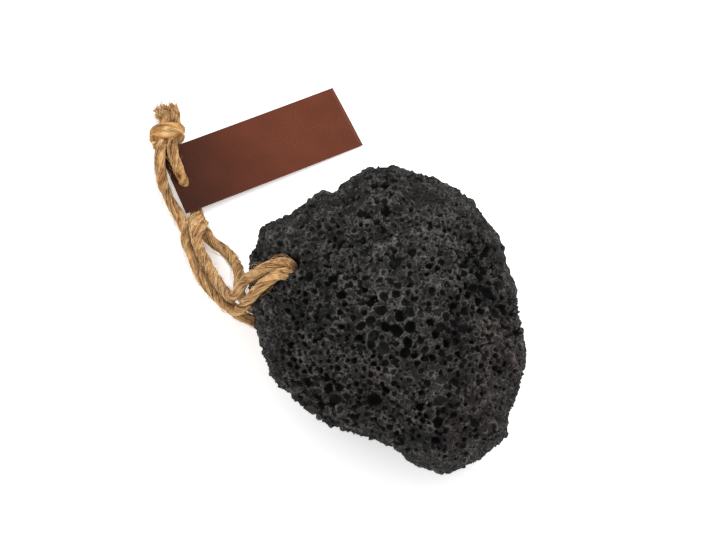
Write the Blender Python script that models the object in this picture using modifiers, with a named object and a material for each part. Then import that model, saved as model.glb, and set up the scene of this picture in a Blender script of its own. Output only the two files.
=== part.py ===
"""A black pumice stone on a loop of jute twine, with a bare card tag.

The stone is one solid. Its widest ring lies in a plane that rises a little to the back, and its
thickness is laid off from that ring along a line that leans to the front. Its skin is a net of
irregular cells, and about half of the cells are sunk as gas bubbles that broke open. A slanting
hole through the left end carries the twine, which is hitched round that end, runs out over the
table, threads the tag and ends in a knot. Metres, +Z up; the origin is on the table, under the
middle of the stone.
"""

import math
import random

import bmesh
import bpy
import numpy as np
from mathutils import Vector

MM = 0.001
MERGE_DISTANCE = 0.05 * MM
SPAN_STEPS = 16

# The stone: the outline of its widest ring, seen square on, in millimetres across and up. It runs
# from the right flank over the shoulder and the top, past a notch and a small lobe, to the left end
# with its two corners, and back round the lower flank and the broad foot of the right side.
OUTLINE_MM = [
    (34.0, 0.0), (32.5, 8.0), (30.5, 15.0), (27.5, 23.0), (21.5, 30.5), (15.0, 35.5), (8.5, 38.0),
    (0.0, 40.0), (-8.0, 38.5), (-11.5, 35.0), (-14.5, 33.0), (-17.5, 33.5), (-21.0, 31.0),
    (-25.5, 27.5), (-33.0, 24.0), (-34.0, 20.5), (-36.0, 16.0), (-36.0, 10.0), (-34.5, 0.0),
    (-32.5, -8.0), (-30.0, -14.0), (-25.5, -18.5), (-18.0, -25.0), (-12.0, -28.0), (-5.0, -29.5),
    (2.0, -33.0), (8.0, -37.0), (14.0, -38.5), (21.0, -36.5), (29.5, -30.5), (31.0, -24.5),
    (34.0, -16.0), (35.0, -8.0),
]
RING_CENTRE = (0.62 * MM, -0.76 * MM, 23.0 * MM)
RING_STRETCH = 1.031
RING_RISE = 0.214
LEAN = (0.0, -0.5, 0.866)
TOP_DEPTH = 25.0 * MM
UNDER_DEPTH = 26.6 * MM
FULLNESS = 2.2
RELIEF_FADE = 0.4

# Broad lumps and hollows: place on the ring's plane, radius and height, in millimetres.
TOP_RELIEF_MM = [
    (14.0, 18.0, 12.0, 2.4),
    (-1.0, 12.0, 8.0, 1.6),
    (-5.0, -6.0, 8.0, 1.8),
    (-4.0, -19.0, 8.0, 2.0),
    (-13.0, 15.5, 5.5, -3.0),
    (-22.0, -4.0, 12.0, -2.2),
    (-17.0, 33.0, 6.0, 1.4),
    (14.0, -33.0, 9.0, 1.8),
    (11.5, -23.0, 4.0, -1.5),
    (20.0, 2.0, 5.0, -1.4),
    (-30.5, 11.0, 4.5, -2.2),
]
UNDER_RELIEF_MM = [
    (18.0, 14.0, 11.0, -2.2),
    (-14.0, 22.0, 10.0, 2.0),
    (16.0, -26.0, 9.0, -2.4),
    (-20.0, -16.0, 9.0, 1.8),
]
SWELL_MM = 0.8

# The broken bubbles.
CELL_COUNT = 760
CELL_JITTER = 0.42
CELL_CROWDING = 1.4
PIT_SHARE = 0.5
PIT_WALL = 0.6 * MM
PIT_DEPTH = (0.9 * MM, 2.0 * MM)
PIT_STEEPNESS = 0.45
PIT_TAPER = 0.86
PIT_ABOVE_FOOT = 0.2 * MM
PIT_CLEAR_OF_HOLE = 3.5 * MM
FLAT_ENOUGH = 0.0001 * MM
SMALLEST_EDGE = 0.35 * MM
SEED = 11

# The drilled hole through the left end, as its axis from the upper to the lower mouth.
HOLE_TOP = (-24.1 * MM, 5.7 * MM, 40.0 * MM)
HOLE_FOOT = (-25.6 * MM, 7.2 * MM, 10.0 * MM)
HOLE_RADIUS = 3.3 * MM
HOLE_FLARE = 1.3
FLARE_DEPTH = 4.0 * MM
HOLE_OVERSHOOT = 9.0 * MM
HOLE_SIDES = 20

# The twine, one length from the knot round to the knot again, as points its middle runs through.
TWINE_DIAMETER = 2.5 * MM
TWINE_POINTS = 80
STRAIGHT_STEP = 11.0 * MM
BEND_STEP = math.radians(30.0)
FIRST_STRAND_MM = [
    (-58.8, 63.9, 4.3), (-59.1, 60.8, 5.6), (-59.2, 57.4, 5.3), (-58.8, 53.6, 3.3),
    (-57.5, 50.2, 1.8), (-55.8, 46.4, 1.6), (-54.2, 42.5, 2.8), (-52.8, 38.5, 4.3),
    (-51.8, 34.9, 4.4), (-51.0, 30.5, 4.7), (-49.5, 25.1, 6.2), (-47.2, 18.6, 9.2),
    (-44.3, 12.7, 12.8), (-41.5, 7.5, 16.7), (-39.1, 3.9, 20.5), (-37.3, 2.4, 25.5),
    (-35.6, 1.9, 30.5), (-33.4, 2.0, 34.8), (-31.1, 2.4, 38.5), (-28.5, 3.2, 40.4),
    (-26.2, 3.8, 40.3), (-24.6, 4.2, 38.0), (-24.3, 4.5, 34.0), (-24.6, 4.8, 28.0),
]
BIGHT_MM = [
    (-25.2, 5.4, 18.0), (-25.9, 5.7, 10.8), (-28.1, 6.0, 7.5), (-31.6, 6.4, 8.1),
    (-35.5, 6.8, 11.0), (-39.1, 8.6, 11.3), (-41.0, 12.9, 10.2), (-43.6, 17.3, 7.8),
    (-46.3, 22.3, 5.3), (-48.8, 28.5, 2.9), (-50.8, 32.6, 1.5), (-52.2, 35.2, 1.4),
    (-52.5, 37.4, 1.4), (-51.5, 39.1, 1.4), (-49.7, 39.7, 1.4), (-47.8, 38.8, 1.6),
    (-46.4, 36.6, 2.2), (-44.5, 33.8, 3.2), (-41.9, 30.8, 5.0), (-39.8, 26.2, 8.0),
    (-38.5, 21.2, 11.5), (-38.2, 16.3, 14.2), (-38.2, 12.8, 15.0), (-36.9, 10.6, 13.8),
    (-33.9, 9.6, 11.0), (-30.5, 8.9, 8.2), (-27.8, 8.7, 7.3), (-26.0, 8.6, 8.9),
    (-25.4, 8.5, 12.5), (-25.2, 8.2, 18.0),
]
SECOND_STRAND_MM = [
    (-24.6, 7.7, 28.0), (-24.3, 7.4, 34.5), (-24.5, 7.1, 38.2), (-26.0, 6.7, 40.7),
    (-28.4, 6.2, 41.4), (-31.3, 5.3, 40.6), (-33.9, 5.1, 38.2), (-36.2, 5.7, 34.4),
    (-38.0, 6.2, 29.4), (-39.1, 6.8, 24.4), (-40.8, 9.1, 19.4), (-42.8, 13.9, 15.2),
    (-44.9, 19.3, 11.8), (-46.9, 24.8, 9.3), (-48.8, 29.9, 7.8), (-49.6, 34.3, 6.9),
    (-49.5, 38.2, 5.6), (-49.5, 40.6, 4.0), (-49.6, 43.2, 2.0), (-50.3, 47.2, 1.5),
    (-52.0, 51.0, 1.7), (-53.0, 52.5, 3.4), (-53.7, 53.5, 5.3), (-55.0, 56.6, 6.3),
    (-55.9, 60.6, 5.9), (-56.2, 63.9, 4.6),
]

# The knot: a turned outer shape along +Y, as radius and distance from its lower face.
KNOT_PROFILE_MM = [
    (0.0, 0.0), (2.7, 0.0), (4.1, 1.0), (4.55, 2.5), (3.9, 4.1), (2.5, 5.4),
    (2.5, 6.6), (3.1, 8.6), (3.3, 10.8), (2.6, 12.3), (0.0, 12.5),
]
KNOT_FACE = (-57.5 * MM, 64.3 * MM, 3.0 * MM)
KNOT_FLATNESS = 0.62
KNOT_SIDES = 16

# The card tag: its outline from the lower left corner, its slope and its punched hole.
TAG_OUTLINE_MM = [(0.0, 0.0), (51.6, 0.0), (52.1, 19.15), (1.8, 19.15)]
TAG_THICKNESS = 0.5 * MM
TAG_CORNER = (-52.4 * MM, 42.9 * MM, 3.75 * MM)
TAG_HEADING = math.radians(26.1)
TAG_SLOPE = math.radians(3.8)
TAG_HOLE_MM = (3.6, 9.0)
TAG_HOLE_RADIUS_MM = 2.4
TAG_HOLE_SIDES = 24


def new_material(name, colour, roughness):
    """A plain Principled finish; colour is linear red, green, blue."""
    material = bpy.data.materials.new(name)
    material.use_nodes = True
    shader = material.node_tree.nodes["Principled BSDF"]
    shader.inputs["Base Color"].default_value = (*colour, 1.0)
    shader.inputs["Roughness"].default_value = roughness
    shader.inputs["Metallic"].default_value = 0.0
    return material


def new_object(name, data, collection, material=None):
    thing = bpy.data.objects.new(name, data)
    collection.objects.link(thing)
    if material:
        data.materials.append(material)
    return thing


def smooth_line(points_mm):
    """A smooth line through listed points (centripetal Catmull-Rom), finely divided."""
    route = np.array(points_mm) * MM
    route = np.vstack([2 * route[0] - route[1], route, 2 * route[-1] - route[-2]])
    line = []
    for a, b, c, d in zip(route, route[1:], route[2:], route[3:]):
        gaps = [math.sqrt(np.linalg.norm(step)) for step in (b - a, c - b, d - c)]
        t0, t1, t2, t3 = np.cumsum([0.0] + gaps)
        for t in np.linspace(t1, t2, SPAN_STEPS, endpoint=False):
            ab = a + (b - a) * (t - t0) / (t1 - t0)
            bc = b + (c - b) * (t - t1) / (t2 - t1)
            cd = c + (d - c) * (t - t2) / (t3 - t2)
            abc = ab + (bc - ab) * (t - t0) / (t2 - t0)
            bcd = bc + (cd - bc) * (t - t1) / (t3 - t1)
            line.append(abc + (bcd - abc) * (t - t1) / (t2 - t1))
    line.append(route[-2])
    return np.array(line)


def ring_radius(angle):
    """Distance from the middle to a smooth closed line through the outline, at an angle."""
    line = smooth_line(OUTLINE_MM[-2:] + OUTLINE_MM + OUTLINE_MM[:2])
    turn = np.unwrap(np.arctan2(line[:, 1], line[:, 0]))
    return np.interp(np.mod(angle, 2 * math.pi), turn, np.hypot(line[:, 0], line[:, 1]))


def relief(u, v, lumps):
    """Sum of round lumps and hollows over the ring's plane."""
    total = np.zeros_like(u)
    for x, y, radius, height in lumps:
        distance = ((u - x * MM) ** 2 + (v - y * MM) ** 2) / (radius * MM) ** 2
        total += height * MM * np.exp(-distance)
    return total


def swell(u, v, w):
    """A gentle unevenness all over, about 18 mm from crest to crest."""
    waves = np.sin(330 * u + 1.3) * np.sin(290 * v + 0.4) + np.sin(310 * w + 270 * u - 0.9)
    return SWELL_MM * MM * 0.5 * (waves + np.sin(380 * v - 300 * w + 2.1))


def stone_point(direction):
    """Points of the stone's skin for unit directions (across, along the ring, through)."""
    dx, dy, dz = direction.T
    out = np.hypot(dx, dy)
    full = (out**FULLNESS + np.abs(dz) ** FULLNESS) ** (-1.0 / FULLNESS)
    angle = np.arctan2(dy, dx)
    reach = ring_radius(angle) * out * full
    u, v = reach * np.cos(angle), reach * np.sin(angle)
    height = dz * full
    w = height * np.where(height > 0, TOP_DEPTH, UNDER_DEPTH)
    inward = np.clip(np.abs(height) / RELIEF_FADE, 0, 1)
    bumps = np.where(height > 0, relief(u, v, TOP_RELIEF_MM), -relief(u, v, UNDER_RELIEF_MM))
    w = w + inward * (bumps + np.sign(height) * swell(u, v, w))
    x = RING_CENTRE[0] + u + LEAN[0] * w
    y = RING_CENTRE[1] + RING_STRETCH * v + LEAN[1] * w
    z = RING_CENTRE[2] + RING_RISE * v + LEAN[2] * w
    return np.column_stack([x, y, np.maximum(z, 0.0)])


def scattered_directions():
    """Unit directions spread on a spiral over the sphere, shaken, and crowded to its flat sides."""
    shaken = random.Random(SEED)
    spacing = math.sqrt(4 * math.pi / CELL_COUNT)
    points = []
    for i in range(CELL_COUNT):
        height = 1 - 2 * (i + 0.5) / CELL_COUNT
        turn = i * math.pi * (3 - math.sqrt(5))
        flat = math.sqrt(1 - height * height)
        point = Vector((flat * math.cos(turn), flat * math.sin(turn), height))
        shake = Vector([shaken.uniform(-1, 1) * CELL_JITTER * spacing for _ in range(3)])
        point += shake
        point.z *= CELL_CROWDING
        points.append(point.normalized())
    return points


def cell_net(points):
    """The cells round scattered points: each corner is the middle of a triangle of their hull."""
    hull = bmesh.new()
    for point in points:
        hull.verts.new(point)
    bmesh.ops.convex_hull(hull, input=hull.verts)
    hull.faces.index_update()
    corners = np.array([face.calc_center_median().normalized() for face in hull.faces])
    cells = []
    for vert in hull.verts:
        if not vert.link_faces:
            continue
        axis = vert.co.normalized()
        side = axis.orthogonal().normalized()
        up = axis.cross(side)
        spokes = [(face.calc_center_median() - vert.co, face.index) for face in vert.link_faces]
        spokes.sort(key=lambda spoke: math.atan2(spoke[0].dot(up), spoke[0].dot(side)))
        cells.append([index for _, index in spokes])
    hull.free()
    return corners, cells


def distance_from_hole(point):
    top, foot = Vector(HOLE_TOP), Vector(HOLE_FOOT)
    axis = (top - foot).normalized()
    offset = point - foot
    return (offset - axis * offset.dot(axis)).length


def sink_pits(mesh):
    """Sinks about half of the cells as broken bubbles, never on the foot or by the hole."""
    chosen = random.Random(SEED + 1)
    pits = []
    for face in mesh.faces:
        lowest = min(vert.co.z for vert in face.verts)
        centre = face.calc_center_median()
        clear = distance_from_hole(centre) > HOLE_RADIUS * HOLE_FLARE + PIT_CLEAR_OF_HOLE
        if lowest > PIT_ABOVE_FOOT and clear and chosen.random() < PIT_SHARE:
            pits.append(face)
    bmesh.ops.inset_individual(mesh, faces=pits, thickness=PIT_WALL, use_even_offset=True)
    for face in pits:
        centre = face.calc_center_median()
        depth = min(chosen.uniform(*PIT_DEPTH), PIT_STEEPNESS * math.sqrt(face.calc_area()))
        inward = -face.normal * depth
        for vert in face.verts:
            vert.co = centre + (vert.co - centre) * PIT_TAPER + inward


def join_foot(mesh):
    """Joins the cells that lie flat on the table into one flat face to rest on."""
    foot = [face for face in mesh.faces if all(vert.co.z < FLAT_ENOUGH for vert in face.verts)]
    bmesh.ops.dissolve_faces(mesh, faces=foot)


def make_hole_cutter(collection):
    """A turned peg along the hole's axis, flared where it leaves the stone."""
    top, foot = Vector(HOLE_TOP), Vector(HOLE_FOOT)
    length = (top - foot).length
    flare = HOLE_RADIUS * HOLE_FLARE
    widest = flare + (flare - HOLE_RADIUS) * HOLE_OVERSHOOT / FLARE_DEPTH
    profile = [
        (0.0, length + HOLE_OVERSHOOT),
        (widest, length + HOLE_OVERSHOOT),
        (HOLE_RADIUS, length - FLARE_DEPTH),
        (HOLE_RADIUS, FLARE_DEPTH),
        (widest, -HOLE_OVERSHOOT),
        (0.0, -HOLE_OVERSHOOT),
    ]
    data = bpy.data.meshes.new("hole_cutter")
    edges = [(i, i + 1) for i in range(len(profile) - 1)]
    data.from_pydata([(radius, 0.0, height) for radius, height in profile], edges, [])
    cutter = new_object("hole_cutter", data, collection)
    cutter.location = foot
    cutter.rotation_mode = "QUATERNION"
    cutter.rotation_quaternion = (top - foot).to_track_quat("Z", "Y")
    turn = cutter.modifiers.new("turn", "SCREW")
    turn.steps = turn.render_steps = HOLE_SIDES
    turn.use_merge_vertices = True
    turn.merge_threshold = MERGE_DISTANCE
    cutter.hide_render = True
    cutter.display_type = "WIRE"
    return cutter


def make_stone(collection, cutters):
    corners, cells = cell_net(scattered_directions())
    mesh = bmesh.new()
    verts = [mesh.verts.new(point) for point in stone_point(corners)]
    for cell in cells:
        mesh.faces.new([verts[index] for index in cell])
    bmesh.ops.remove_doubles(mesh, verts=mesh.verts, dist=SMALLEST_EDGE)
    bmesh.ops.recalc_face_normals(mesh, faces=mesh.faces)
    sink_pits(mesh)
    join_foot(mesh)
    data = bpy.data.meshes.new("pumice_stone")
    mesh.to_mesh(data)
    mesh.free()
    lava_stone = new_material("lava_stone", (0.028, 0.026, 0.024), 0.92)
    stone = new_object("pumice_stone", data, collection, lava_stone)
    drill = stone.modifiers.new("drilled_hole", "BOOLEAN")
    drill.operation = "DIFFERENCE"
    drill.solver = "EXACT"
    drill.object = make_hole_cutter(cutters)
    return stone


def tube_points(line):
    """Points along a line, spread by its length and closer together where it bends."""
    steps = np.diff(line, axis=0)
    lengths = np.linalg.norm(steps, axis=1)
    ways = steps / lengths[:, None]
    turns = np.arccos(np.clip((ways[1:] * ways[:-1]).sum(axis=1), -1, 1))
    measure = lengths / STRAIGHT_STEP
    measure[1:] += turns / BEND_STEP
    along = np.concatenate([[0.0], np.cumsum(measure)])
    stops = np.linspace(0, along[-1], TWINE_POINTS)
    return np.column_stack([np.interp(stops, along, line[:, axis]) for axis in range(3)])


def make_twine(collection):
    line = smooth_line(FIRST_STRAND_MM + BIGHT_MM + SECOND_STRAND_MM)
    data = bpy.data.curves.new("jute_twine", "CURVE")
    data.dimensions = "3D"
    data.bevel_depth = TWINE_DIAMETER / 2
    data.bevel_resolution = 2
    data.use_fill_caps = True
    points = tube_points(line)
    spline = data.splines.new("POLY")
    spline.points.add(len(points) - 1)
    for target, point in zip(spline.points, points):
        target.co = (*point, 1.0)
    new_object("jute_twine", data, collection, new_material("jute", (0.52, 0.32, 0.16), 0.9))


def make_knot(collection):
    """The outer shape of the knot and of the cut ends beyond it, flattened on the table."""
    data = bpy.data.meshes.new("twine_knot")
    edges = [(i, i + 1) for i in range(len(KNOT_PROFILE_MM) - 1)]
    spots = [(radius * MM, along * MM, 0.0) for radius, along in reversed(KNOT_PROFILE_MM)]
    data.from_pydata(spots, edges, [])
    knot = new_object("twine_knot", data, collection, bpy.data.materials["jute"])
    knot.location = KNOT_FACE
    knot.scale = (1.0, 1.0, KNOT_FLATNESS)
    turn = knot.modifiers.new("turn", "SCREW")
    turn.axis = "Y"
    turn.steps = turn.render_steps = KNOT_SIDES
    turn.use_merge_vertices = True
    turn.merge_threshold = MERGE_DISTANCE


def tag_loop(curve, corners):
    loop = curve.splines.new("POLY")
    loop.points.add(len(corners) - 1)
    for target, (x, y) in zip(loop.points, corners):
        target.co = (x * MM, y * MM, 0.0, 1.0)
    loop.use_cyclic_u = True


def make_tag(collection):
    """A strip of card with a punched hole, one end held up by the strand that runs under it."""
    data = bpy.data.curves.new("card_tag", "CURVE")
    data.dimensions = "2D"
    data.fill_mode = "BOTH"
    data.extrude = TAG_THICKNESS / 2
    tag_loop(data, TAG_OUTLINE_MM)
    turns = [2 * math.pi * i / TAG_HOLE_SIDES for i in range(TAG_HOLE_SIDES)]
    x, y = TAG_HOLE_MM
    r = TAG_HOLE_RADIUS_MM
    tag_loop(data, [(x + r * math.cos(turn), y + r * math.sin(turn)) for turn in turns])
    brown_card = new_material("brown_card", (0.12, 0.045, 0.024), 0.55)
    tag = new_object("card_tag", data, collection, brown_card)
    tag.location = TAG_CORNER
    tag.rotation_euler = (0.0, TAG_SLOPE, TAG_HEADING)


def main():
    for thing in list(bpy.data.objects):
        bpy.data.objects.remove(thing, do_unlink=True)
    parts = bpy.data.collections.new("pumice_stone_on_twine")
    cutters = bpy.data.collections.new("cutters")
    bpy.context.scene.collection.children.link(parts)
    bpy.context.scene.collection.children.link(cutters)
    make_stone(parts, cutters)
    make_twine(parts)
    make_knot(parts)
    make_tag(parts)


main()
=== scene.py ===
# %% [markdown]
# A black pumice stone on a loop of jute twine, with a bare card tag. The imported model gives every
# size and place; the pieces made here give the looks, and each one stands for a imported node.

# %% The frame
import math

import bpy
import numpy as np
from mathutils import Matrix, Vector


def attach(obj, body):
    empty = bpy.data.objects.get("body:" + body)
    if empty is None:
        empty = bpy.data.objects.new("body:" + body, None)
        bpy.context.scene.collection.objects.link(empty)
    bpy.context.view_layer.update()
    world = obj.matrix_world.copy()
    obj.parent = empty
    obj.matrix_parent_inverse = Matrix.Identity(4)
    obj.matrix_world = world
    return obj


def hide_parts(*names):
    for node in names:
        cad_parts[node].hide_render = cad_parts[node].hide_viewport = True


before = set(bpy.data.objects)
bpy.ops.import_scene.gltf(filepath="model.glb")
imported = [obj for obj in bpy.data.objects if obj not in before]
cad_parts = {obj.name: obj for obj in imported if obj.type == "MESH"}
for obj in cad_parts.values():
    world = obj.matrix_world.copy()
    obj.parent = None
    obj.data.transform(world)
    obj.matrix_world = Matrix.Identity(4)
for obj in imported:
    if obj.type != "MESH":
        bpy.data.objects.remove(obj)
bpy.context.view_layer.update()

MM = 0.001
print("packed nodes:", sorted(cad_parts))


# %% [markdown]
# The camera looks down at 60 degrees from the front. It stands five metres off with a very long
# lens, because the far side of the object looks no smaller than the near side.

# %% The camera
SENSOR = 36.0
VIEW_WIDTH = 186.16 * MM
CAMERA_DISTANCE = 5.0
CAMERA_ELEVATION = math.radians(60.0)
AIM = Vector((-7.43 * MM, 14.78 * MM, 23.0 * MM))

camera_data = bpy.data.cameras.new("camera")
camera_data.sensor_width = SENSOR
camera_data.lens = SENSOR * CAMERA_DISTANCE / VIEW_WIDTH
camera = bpy.data.objects.new("camera", camera_data)
bpy.context.scene.collection.objects.link(camera)
toward_camera = Vector((0.0, -math.cos(CAMERA_ELEVATION), math.sin(CAMERA_ELEVATION)))
camera.location = AIM + toward_camera * CAMERA_DISTANCE
camera.rotation_euler = (-toward_camera).to_track_quat("-Z", "Y").to_euler()
bpy.context.scene.camera = camera
print("lens, mm:", round(camera_data.lens))


# %% [markdown]
# Everything below is built from arrays of points. These helpers join arrays into one mesh, close a
# tube, and turn a hex colour into the linear numbers that a shader needs.

# %% Helpers for meshes and colours
def linear(hex_colour):
    """sRGB hex to linear red, green, blue and alpha: x/12.92 near black, ((x+0.055)/1.055)^2.4 above."""
    parts = [int(hex_colour[i:i + 2], 16) / 255 for i in (1, 3, 5)]
    return (*[x / 12.92 if x <= 0.04045 else ((x + 0.055) / 1.055) ** 2.4 for x in parts], 1.0)


def joined(parts):
    """Several (points, faces, tone) as one, with each part's faces counted on from the last."""
    start, points, faces, tones = 0, [], [], []
    for part_points, part_faces, tone in parts:
        points.append(part_points)
        faces.extend((np.asarray(f) + start for f in part_faces))
        tones.append(np.broadcast_to(tone, len(part_points)))
        start += len(part_points)
    return np.vstack(points), faces, np.concatenate(tones)


def new_piece(name, points, face_sets, material, values=None, uv=None):
    """A mesh object with its place in its mesh; values are numbers held at each point."""
    data = bpy.data.meshes.new(name)
    faces = [face for block in face_sets for face in np.asarray(block).tolist()]
    data.from_pydata(points.tolist(), [], faces)
    for key, numbers in (values or {}).items():
        data.attributes.new(key, "FLOAT", "POINT").data.foreach_set("value", np.asarray(numbers, "f"))
    if uv is not None:
        corner = np.zeros(len(data.loops), dtype=np.int32)
        data.loops.foreach_get("vertex_index", corner)
        data.uv_layers.new(name="UVMap").data.foreach_set("uv", uv[corner].astype("f").ravel())
    data.polygons.foreach_set("use_smooth", np.ones(len(data.polygons), dtype=bool))
    data.materials.append(material)
    data.update()
    thing = bpy.data.objects.new(name, data)
    bpy.context.scene.collection.objects.link(thing)
    triangles = sum(len(face) - 2 for face in faces)
    print(name, len(points), "points", triangles, "triangles")
    return thing


def ring_faces(rings, sides):
    """Quads between neighbouring rings of a tube, then one face over each end."""
    a = np.arange(rings - 1)[:, None] * sides + np.arange(sides)[None, :]
    b = np.arange(rings - 1)[:, None] * sides + (np.arange(sides)[None, :] + 1) % sides
    quads = np.stack([a, b, b + sides, a + sides], axis=-1).reshape(-1, 4)
    first = np.arange(sides)[::-1][None, :]
    last = ((rings - 1) * sides + np.arange(sides))[None, :]
    return [quads, first, last]


def lattice_value(ix, iy, iz, seed):
    """A repeatable random number in -1..1 for each whole-number place."""
    h = ix * 374761393 + iy * 668265263 + iz * 1274126177 + seed * 974634777
    h = (h ^ (h >> 13)) * 1103515245 & 0x7FFFFFFF
    h = (h ^ (h >> 16)) * 69069 & 0x7FFFFFFF
    return (h >> 7 & 0xFFFF) / 32767.5 - 1.0


def value_noise(points, size, seed):
    """Random values on a lattice of that size, blended smoothly between its eight nearest places."""
    q = points / size
    cell = np.floor(q).astype(np.int64)
    f = q - cell
    f = f * f * (3 - 2 * f)
    total = np.zeros(len(points))
    for corner in range(8):
        step = np.array([corner & 1, corner >> 1 & 1, corner >> 2 & 1])
        weight = np.prod(np.where(step, f, 1 - f), axis=1)
        total += weight * lattice_value(*(cell + step).T, seed)
    return total


# %% Helpers for materials
def add_node(tree, kind, inputs=None, stops=(), **settings):
    """A node with its settings; an input gets a value or a socket to link from, a ramp its (place, hex) stops."""
    node = tree.nodes.new(kind)
    for key, value in settings.items():
        setattr(node, key, value)
    for i, (place, colour) in enumerate(stops):
        bar = node.color_ramp.elements
        element = bar[i] if i < len(bar) else bar.new(place)
        element.position = place
        element.color = linear(colour)
    for key, value in (inputs or {}).items():
        if isinstance(value, bpy.types.NodeSocket):
            tree.links.new(value, node.inputs[key])
        else:
            node.inputs[key].default_value = value
    return node


def new_finish(name, roughness, ior=1.5):
    """An empty Principled finish, as (material, tree, shader)."""
    material = bpy.data.materials.new(name)
    material.use_nodes = True
    shader = material.node_tree.nodes["Principled BSDF"]
    shader.inputs["Roughness"].default_value = roughness
    shader.inputs["IOR"].default_value = ior
    return material, material.node_tree, shader


# %% [markdown]
# Jute is a coarse golden bast fibre, spun loosely and hardly dressed, so it is matt and every fibre
# has its own tone, from straw to brown. The tone is held on the mesh and read by the material.

# %% Spun jute
def make_jute():
    material, tree, shader = new_finish("spun_jute", 0.9)
    tone = add_node(tree, "ShaderNodeAttribute", attribute_name="tone").outputs["Fac"]
    where = add_node(tree, "ShaderNodeTexCoord").outputs["Object"]
    # Blotches about 2 mm across, as spun fibre takes dirt and light unevenly.
    blotch = add_node(tree, "ShaderNodeTexNoise", {"Vector": where, "Scale": 500.0, "Detail": 4.0}).outputs["Fac"]
    mixed = add_node(tree, "ShaderNodeMath", {0: blotch, 1: 0.7, 2: tone}, operation="MULTIPLY_ADD")
    lowered = add_node(tree, "ShaderNodeMath", {0: mixed.outputs[0], 1: 0.35}, operation="SUBTRACT")
    colour = add_node(tree, "ShaderNodeValToRGB", {"Fac": lowered.outputs[0]}, stops=[
        (0.0, "#4a2c12"), (0.22, "#8f6032"), (0.5, "#c8995f"), (0.75, "#e0bb86"), (1.0, "#f6dcb0")])
    fine = add_node(tree, "ShaderNodeTexNoise", {"Vector": where, "Scale": 3000.0, "Detail": 2.0})
    bump = add_node(tree, "ShaderNodeBump", {"Height": fine.outputs["Fac"], "Strength": 0.35, "Distance": 0.0001})
    tree.links.new(colour.outputs["Color"], shader.inputs["Base Color"])
    tree.links.new(bump.outputs["Normal"], shader.inputs["Normal"])
    shader.inputs["Sheen Weight"].default_value = 0.05
    shader.inputs["Specular IOR Level"].default_value = 0.2
    return material


jute = make_jute()


# %% [markdown]
# The twine is one length: from the knot down to the stone, through the drilled hole, back out in
# the hitch's loop, through the hole again and up to the tag and the knot. Its middle runs through
# these points, in millimetres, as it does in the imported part.

# %% The twine's route
FIRST_STRAND = [
    (-58.8, 63.9, 4.3), (-59.1, 60.8, 5.6), (-59.2, 57.4, 5.3), (-58.8, 53.6, 3.3),
    (-57.5, 50.2, 1.8), (-55.8, 46.4, 1.6), (-54.2, 42.5, 2.8), (-52.8, 38.5, 4.3),
    (-51.8, 34.9, 4.4), (-51.0, 30.5, 4.7), (-49.5, 25.1, 6.2), (-47.2, 18.6, 9.2),
    (-44.3, 12.7, 12.8), (-41.5, 7.5, 16.7), (-39.1, 3.9, 20.5), (-37.3, 2.4, 25.5),
    (-35.6, 1.9, 30.5), (-33.4, 2.0, 34.8), (-31.1, 2.4, 38.5), (-28.5, 3.2, 40.4),
    (-26.2, 3.8, 40.3), (-24.6, 4.2, 38.0), (-24.3, 4.5, 34.0), (-24.6, 4.8, 28.0),
]
BIGHT = [
    (-25.2, 5.4, 18.0), (-25.9, 5.7, 10.8), (-28.1, 6.0, 7.5), (-31.6, 6.4, 8.1),
    (-35.5, 6.8, 11.0), (-39.1, 8.6, 11.3), (-41.0, 12.9, 10.2), (-43.6, 17.3, 7.8),
    (-46.3, 22.3, 5.3), (-48.8, 28.5, 2.9), (-50.8, 32.6, 1.5), (-52.2, 35.2, 1.4),
    (-52.5, 37.4, 1.4), (-51.5, 39.1, 1.4), (-49.7, 39.7, 1.4), (-47.8, 38.8, 1.6),
    (-46.4, 36.6, 2.2), (-44.5, 33.8, 3.2), (-41.9, 30.8, 5.0), (-39.8, 26.2, 8.0),
    (-38.5, 21.2, 11.5), (-38.2, 16.3, 14.2), (-38.2, 12.8, 15.0), (-36.9, 10.6, 13.8),
    (-33.9, 9.6, 11.0), (-30.5, 8.9, 8.2), (-27.8, 8.7, 7.3), (-26.0, 8.6, 8.9),
    (-25.4, 8.5, 12.5), (-25.2, 8.2, 18.0),
]
SECOND_STRAND = [
    (-24.6, 7.7, 28.0), (-24.3, 7.4, 34.5), (-24.5, 7.1, 38.2), (-26.0, 6.7, 40.7),
    (-28.4, 6.2, 41.4), (-31.3, 5.3, 40.6), (-33.9, 5.1, 38.2), (-36.2, 5.7, 34.4),
    (-38.0, 6.2, 29.4), (-39.1, 6.8, 24.4), (-40.8, 9.1, 19.4), (-42.8, 13.9, 15.2),
    (-44.9, 19.3, 11.8), (-46.9, 24.8, 9.3), (-48.8, 29.9, 7.8), (-49.6, 34.3, 6.9),
    (-49.5, 38.2, 5.6), (-49.5, 40.6, 4.0), (-49.6, 43.2, 2.0), (-50.3, 47.2, 1.5),
    (-52.0, 51.0, 1.7), (-53.0, 52.5, 3.4), (-53.7, 53.5, 5.3), (-55.0, 56.6, 6.3),
    (-55.9, 60.6, 5.9), (-56.2, 63.9, 4.6),
]
TWINE_DIAMETER = 2.5 * MM
TWINE_STEP = 0.32 * MM


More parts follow.
